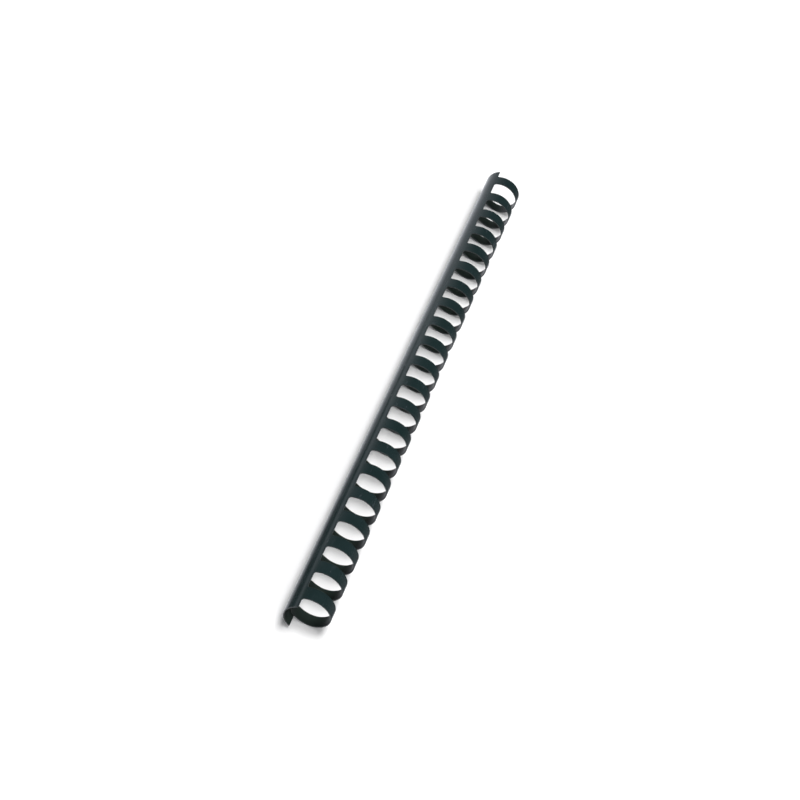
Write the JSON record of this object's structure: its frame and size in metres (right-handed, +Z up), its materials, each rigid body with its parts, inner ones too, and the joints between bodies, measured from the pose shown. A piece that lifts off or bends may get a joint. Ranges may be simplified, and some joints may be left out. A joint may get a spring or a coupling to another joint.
{
  "type": "plastic binding comb",
  "caption": "Black plastic binding comb: a curved spine with curled fingers that flex open to take punched sheets and spring shut into rings.",
  "frame": {"origin": "on the common axis of the closed rings, half way along the comb", "axes": "+X along the comb, +Y out through the middle of the spine's back, +Z up through the top of the rings, where the fingers leave the spine"},
  "size_m": [0.301, 0.0194, 0.019],
  "materials": {
    "black_pvc": "black PVC with a soft satin gloss"
  },
  "bodies": {
    "spine": {"spine": "black_pvc"},
    "ring_01_arm": {"ring_01_arm": "black_pvc"},
    "ring_01_tip": {"ring_01_tip": "black_pvc"},
    "ring_02_arm": {"ring_02_arm": "black_pvc"},
    "ring_02_tip": {"ring_02_tip": "black_pvc"},
    "ring_03_arm": {"ring_03_arm": "black_pvc"},
    "ring_03_tip": {"ring_03_tip": "black_pvc"},
    "ring_04_arm": {"ring_04_arm": "black_pvc"},
    "ring_04_tip": {"ring_04_tip": "black_pvc"},
    "ring_05_arm": {"ring_05_arm": "black_pvc"},
    "ring_05_tip": {"ring_05_tip": "black_pvc"},
    "ring_06_arm": {"ring_06_arm": "black_pvc"},
    "ring_06_tip": {"ring_06_tip": "black_pvc"},
    "ring_07_arm": {"ring_07_arm": "black_pvc"},
    "ring_07_tip": {"ring_07_tip": "black_pvc"},
    "ring_08_arm": {"ring_08_arm": "black_pvc"},
    "ring_08_tip": {"ring_08_tip": "black_pvc"},
    "ring_09_arm": {"ring_09_arm": "black_pvc"},
    "ring_09_tip": {"ring_09_tip": "black_pvc"},
    "ring_10_arm": {"ring_10_arm": "black_pvc"},
    "ring_10_tip": {"ring_10_tip": "black_pvc"},
    "ring_11_arm": {"ring_11_arm": "black_pvc"},
    "ring_11_tip": {"ring_11_tip": "black_pvc"},
    "ring_12_arm": {"ring_12_arm": "black_pvc"},
    "ring_12_tip": {"ring_12_tip": "black_pvc"},
    "ring_13_arm": {"ring_13_arm": "black_pvc"},
    "ring_13_tip": {"ring_13_tip": "black_pvc"},
    "ring_14_arm": {"ring_14_arm": "black_pvc"},
    "ring_14_tip": {"ring_14_tip": "black_pvc"},
    "ring_15_arm": {"ring_15_arm": "black_pvc"},
    "ring_15_tip": {"ring_15_tip": "black_pvc"},
    "ring_16_arm": {"ring_16_arm": "black_pvc"},
    "ring_16_tip": {"ring_16_tip": "black_pvc"},
    "ring_17_arm": {"ring_17_arm": "black_pvc"},
    "ring_17_tip": {"ring_17_tip": "black_pvc"},
    "ring_18_arm": {"ring_18_arm": "black_pvc"},
    "ring_18_tip": {"ring_18_tip": "black_pvc"},
    "ring_19_arm": {"ring_19_arm": "black_pvc"},
    "ring_19_tip": {"ring_19_tip": "black_pvc"},
    "ring_20_arm": {"ring_20_arm": "black_pvc"},
    "ring_20_tip": {"ring_20_tip": "black_pvc"},
    "ring_21_arm": {"ring_21_arm": "black_pvc"},
    "ring_21_tip": {"ring_21_tip": "black_pvc"}
  },
  "joints": [
    {"name": "ring_01_flex", "type": "hinge", "parent": "spine", "child": "ring_01_arm", "pos_m": [-0.14288, 0.00164, 0.00929], "axis": [-1, 0, 0], "range_deg": [0, 40], "stiffness_Nm_per_rad": 0.0085},
    {"name": "ring_01_uncurl", "type": "hinge", "parent": "ring_01_arm", "child": "ring_01_tip", "pos_m": [-0.14288, -0.00897, 0.00291], "axis": [-1, 0, 0], "range_deg": [0, 40], "stiffness_Nm_per_rad": 0.0085},
    {"name": "ring_02_flex", "type": "hinge", "parent": "spine", "child": "ring_02_arm", "pos_m": [-0.12859, 0.00164, 0.00929], "axis": [-1, 0, 0], "range_deg": [0, 40], "stiffness_Nm_per_rad": 0.0085},
    {"name": "ring_02_uncurl", "type": "hinge", "parent": "ring_02_arm", "child": "ring_02_tip", "pos_m": [-0.12859, -0.00897, 0.00291], "axis": [-1, 0, 0], "range_deg": [0, 40], "stiffness_Nm_per_rad": 0.0085},
    {"name": "ring_03_flex", "type": "hinge", "parent": "spine", "child": "ring_03_arm", "pos_m": [-0.1143, 0.00164, 0.00929], "axis": [-1, 0, 0], "range_deg": [0, 40], "stiffness_Nm_per_rad": 0.0085},
    {"name": "ring_03_uncurl", "type": "hinge", "parent": "ring_03_arm", "child": "ring_03_tip", "pos_m": [-0.1143, -0.00897, 0.00291], "axis": [-1, 0, 0], "range_deg": [0, 40], "stiffness_Nm_per_rad": 0.0085},
    {"name": "ring_04_flex", "type": "hinge", "parent": "spine", "child": "ring_04_arm", "pos_m": [-0.10001, 0.00164, 0.00929], "axis": [-1, 0, 0], "range_deg": [0, 40], "stiffness_Nm_per_rad": 0.0085},
    {"name": "ring_04_uncurl", "type": "hinge", "parent": "ring_04_arm", "child": "ring_04_tip", "pos_m": [-0.10001, -0.00897, 0.00291], "axis": [-1, 0, 0], "range_deg": [0, 40], "stiffness_Nm_per_rad": 0.0085},
    {"name": "ring_05_flex", "type": "hinge", "parent": "spine", "child": "ring_05_arm", "pos_m": [-0.08572, 0.00164, 0.00929], "axis": [-1, 0, 0], "range_deg": [0, 40], "stiffness_Nm_per_rad": 0.0085},
    {"name": "ring_05_uncurl", "type": "hinge", "parent": "ring_05_arm", "child": "ring_05_tip", "pos_m": [-0.08572, -0.00897, 0.00291], "axis": [-1, 0, 0], "range_deg": [0, 40], "stiffness_Nm_per_rad": 0.0085},
    {"name": "ring_06_flex", "type": "hinge", "parent": "spine", "child": "ring_06_arm", "pos_m": [-0.07144, 0.00164, 0.00929], "axis": [-1, 0, 0], "range_deg": [0, 40], "stiffness_Nm_per_rad": 0.0085},
    {"name": "ring_06_uncurl", "type": "hinge", "parent": "ring_06_arm", "child": "ring_06_tip", "pos_m": [-0.07144, -0.00897, 0.00291], "axis": [-1, 0, 0], "range_deg": [0, 40], "stiffness_Nm_per_rad": 0.0085},
    {"name": "ring_07_flex", "type": "hinge", "parent": "spine", "child": "ring_07_arm", "pos_m": [-0.05715, 0.00164, 0.00929], "axis": [-1, 0, 0], "range_deg": [0, 40], "stiffness_Nm_per_rad": 0.0085},
    {"name": "ring_07_uncurl", "type": "hinge", "parent": "ring_07_arm", "child": "ring_07_tip", "pos_m": [-0.05715, -0.00897, 0.00291], "axis": [-1, 0, 0], "range_deg": [0, 40], "stiffness_Nm_per_rad": 0.0085},
    {"name": "ring_08_flex", "type": "hinge", "parent": "spine", "child": "ring_08_arm", "pos_m": [-0.04286, 0.00164, 0.00929], "axis": [-1, 0, 0], "range_deg": [0, 40], "stiffness_Nm_per_rad": 0.0085},
    {"name": "ring_08_uncurl", "type": "hinge", "parent": "ring_08_arm", "child": "ring_08_tip", "pos_m": [-0.04286, -0.00897, 0.00291], "axis": [-1, 0, 0], "range_deg": [0, 40], "stiffness_Nm_per_rad": 0.0085},
    {"name": "ring_09_flex", "type": "hinge", "parent": "spine", "child": "ring_09_arm", "pos_m": [-0.02857, 0.00164, 0.00929], "axis": [-1, 0, 0], "range_deg": [0, 40], "stiffness_Nm_per_rad": 0.0085},
    {"name": "ring_09_uncurl", "type": "hinge", "parent": "ring_09_arm", "child": "ring_09_tip", "pos_m": [-0.02857, -0.00897, 0.00291], "axis": [-1, 0, 0], "range_deg": [0, 40], "stiffness_Nm_per_rad": 0.0085},
    {"name": "ring_10_flex", "type": "hinge", "parent": "spine", "child": "ring_10_arm", "pos_m": [-0.01429, 0.00164, 0.00929], "axis": [-1, 0, 0], "range_deg": [0, 40], "stiffness_Nm_per_rad": 0.0085},
    {"name": "ring_10_uncurl", "type": "hinge", "parent": "ring_10_arm", "child": "ring_10_tip", "pos_m": [-0.01429, -0.00897, 0.00291], "axis": [-1, 0, 0], "range_deg": [0, 40], "stiffness_Nm_per_rad": 0.0085},
    {"name": "ring_11_flex", "type": "hinge", "parent": "spine", "child": "ring_11_arm", "pos_m": [0, 0.00164, 0.00929], "axis": [-1, 0, 0], "range_deg": [0, 40], "stiffness_Nm_per_rad": 0.0085},
    {"name": "ring_11_uncurl", "type": "hinge", "parent": "ring_11_arm", "child": "ring_11_tip", "pos_m": [0, -0.00897, 0.00291], "axis": [-1, 0, 0], "range_deg": [0, 40], "stiffness_Nm_per_rad": 0.0085},
    {"name": "ring_12_flex", "type": "hinge", "parent": "spine", "child": "ring_12_arm", "pos_m": [0.01429, 0.00164, 0.00929], "axis": [-1, 0, 0], "range_deg": [0, 40], "stiffness_Nm_per_rad": 0.0085},
    {"name": "ring_12_uncurl", "type": "hinge", "parent": "ring_12_arm", "child": "ring_12_tip", "pos_m": [0.01429, -0.00897, 0.00291], "axis": [-1, 0, 0], "range_deg": [0, 40], "stiffness_Nm_per_rad": 0.0085},
    {"name": "ring_13_flex", "type": "hinge", "parent": "spine", "child": "ring_13_arm", "pos_m": [0.02857, 0.00164, 0.00929], "axis": [-1, 0, 0], "range_deg": [0, 40], "stiffness_Nm_per_rad": 0.0085},
    {"name": "ring_13_uncurl", "type": "hinge", "parent": "ring_13_arm", "child": "ring_13_tip", "pos_m": [0.02857, -0.00897, 0.00291], "axis": [-1, 0, 0], "range_deg": [0, 40], "stiffness_Nm_per_rad": 0.0085},
    {"name": "ring_14_flex", "type": "hinge", "parent": "spine", "child": "ring_14_arm", "pos_m": [0.04286, 0.00164, 0.00929], "axis": [-1, 0, 0], "range_deg": [0, 40], "stiffness_Nm_per_rad": 0.0085},
    {"name": "ring_14_uncurl", "type": "hinge", "parent": "ring_14_arm", "child": "ring_14_tip", "pos_m": [0.04286, -0.00897, 0.00291], "axis": [-1, 0, 0], "range_deg": [0, 40], "stiffness_Nm_per_rad": 0.0085},
    {"name": "ring_15_flex", "type": "hinge", "parent": "spine", "child": "ring_15_arm", "pos_m": [0.05715, 0.00164, 0.00929], "axis": [-1, 0, 0], "range_deg": [0, 40], "stiffness_Nm_per_rad": 0.0085},
    {"name": "ring_15_uncurl", "type": "hinge", "parent": "ring_15_arm", "child": "ring_15_tip", "pos_m": [0.05715, -0.00897, 0.00291], "axis": [-1, 0, 0], "range_deg": [0, 40], "stiffness_Nm_per_rad": 0.0085},
    {"name": "ring_16_flex", "type": "hinge", "parent": "spine", "child": "ring_16_arm", "pos_m": [0.07144, 0.00164, 0.00929], "axis": [-1, 0, 0], "range_deg": [0, 40], "stiffness_Nm_per_rad": 0.0085},
    {"name": "ring_16_uncurl", "type": "hinge", "parent": "ring_16_arm", "child": "ring_16_tip", "pos_m": [0.07144, -0.00897, 0.00291], "axis": [-1, 0, 0], "range_deg": [0, 40], "stiffness_Nm_per_rad": 0.0085},
    {"name": "ring_17_flex", "type": "hinge", "parent": "spine", "child": "ring_17_arm", "pos_m": [0.08572, 0.00164, 0.00929], "axis": [-1, 0, 0], "range_deg": [0, 40], "stiffness_Nm_per_rad": 0.0085},
    {"name": "ring_17_uncurl", "type": "hinge", "parent": "ring_17_arm", "child": "ring_17_tip", "pos_m": [0.08572, -0.00897, 0.00291], "axis": [-1, 0, 0], "range_deg": [0, 40], "stiffness_Nm_per_rad": 0.0085},
    {"name": "ring_18_flex", "type": "hinge", "parent": "spine", "child": "ring_18_arm", "pos_m": [0.10001, 0.00164, 0.00929], "axis": [-1, 0, 0], "range_deg": [0, 40], "stiffness_Nm_per_rad": 0.0085},
    {"name": "ring_18_uncurl", "type": "hinge", "parent": "ring_18_arm", "child": "ring_18_tip", "pos_m": [0.10001, -0.00897, 0.00291], "axis": [-1, 0, 0], "range_deg": [0, 40], "stiffness_Nm_per_rad": 0.0085},
    {"name": "ring_19_flex", "type": "hinge", "parent": "spine", "child": "ring_19_arm", "pos_m": [0.1143, 0.00164, 0.00929], "axis": [-1, 0, 0], "range_deg": [0, 40], "stiffness_Nm_per_rad": 0.0085},
    {"name": "ring_19_uncurl", "type": "hinge", "parent": "ring_19_arm", "child": "ring_19_tip", "pos_m": [0.1143, -0.00897, 0.00291], "axis": [-1, 0, 0], "range_deg": [0, 40], "stiffness_Nm_per_rad": 0.0085},
    {"name": "ring_20_flex", "type": "hinge", "parent": "spine", "child": "ring_20_arm", "pos_m": [0.12859, 0.00164, 0.00929], "axis": [-1, 0, 0], "range_deg": [0, 40], "stiffness_Nm_per_rad": 0.0085},
    {"name": "ring_20_uncurl", "type": "hinge", "parent": "ring_20_arm", "child": "ring_20_tip", "pos_m": [0.12859, -0.00897, 0.00291], "axis": [-1, 0, 0], "range_deg": [0, 40], "stiffness_Nm_per_rad": 0.0085},
    {"name": "ring_21_flex", "type": "hinge", "parent": "spine", "child": "ring_21_arm", "pos_m": [0.14288, 0.00164, 0.00929], "axis": [-1, 0, 0], "range_deg": [0, 40], "stiffness_Nm_per_rad": 0.0085},
    {"name": "ring_21_uncurl", "type": "hinge", "parent": "ring_21_arm", "child": "ring_21_tip", "pos_m": [0.14288, -0.00897, 0.00291], "axis": [-1, 0, 0], "range_deg": [0, 40], "stiffness_Nm_per_rad": 0.0085}
  ],
  "couplings": [
    {"joint": "ring_01_uncurl", "follows": "ring_01_flex", "ratio": 1},
    {"joint": "ring_02_uncurl", "follows": "ring_02_flex", "ratio": 1},
    {"joint": "ring_03_uncurl", "follows": "ring_03_flex", "ratio": 1},
    {"joint": "ring_04_uncurl", "follows": "ring_04_flex", "ratio": 1},
    {"joint": "ring_05_uncurl", "follows": "ring_05_flex", "ratio": 1},
    {"joint": "ring_06_uncurl", "follows": "ring_06_flex", "ratio": 1},
    {"joint": "ring_07_uncurl", "follows": "ring_07_flex", "ratio": 1},
    {"joint": "ring_08_uncurl", "follows": "ring_08_flex", "ratio": 1},
    {"joint": "ring_09_uncurl", "follows": "ring_09_flex", "ratio": 1},
    {"joint": "ring_10_uncurl", "follows": "ring_10_flex", "ratio": 1},
    {"joint": "ring_11_uncurl", "follows": "ring_11_flex", "ratio": 1},
    {"joint": "ring_12_uncurl", "follows": "ring_12_flex", "ratio": 1},
    {"joint": "ring_13_uncurl", "follows": "ring_13_flex", "ratio": 1},
    {"joint": "ring_14_uncurl", "follows": "ring_14_flex", "ratio": 1},
    {"joint": "ring_15_uncurl", "follows": "ring_15_flex", "ratio": 1},
    {"joint": "ring_16_uncurl", "follows": "ring_16_flex", "ratio": 1},
    {"joint": "ring_17_uncurl", "follows": "ring_17_flex", "ratio": 1},
    {"joint": "ring_18_uncurl", "follows": "ring_18_flex", "ratio": 1},
    {"joint": "ring_19_uncurl", "follows": "ring_19_flex", "ratio": 1},
    {"joint": "ring_20_uncurl", "follows": "ring_20_flex", "ratio": 1},
    {"joint": "ring_21_uncurl", "follows": "ring_21_flex", "ratio": 1}
  ]
}
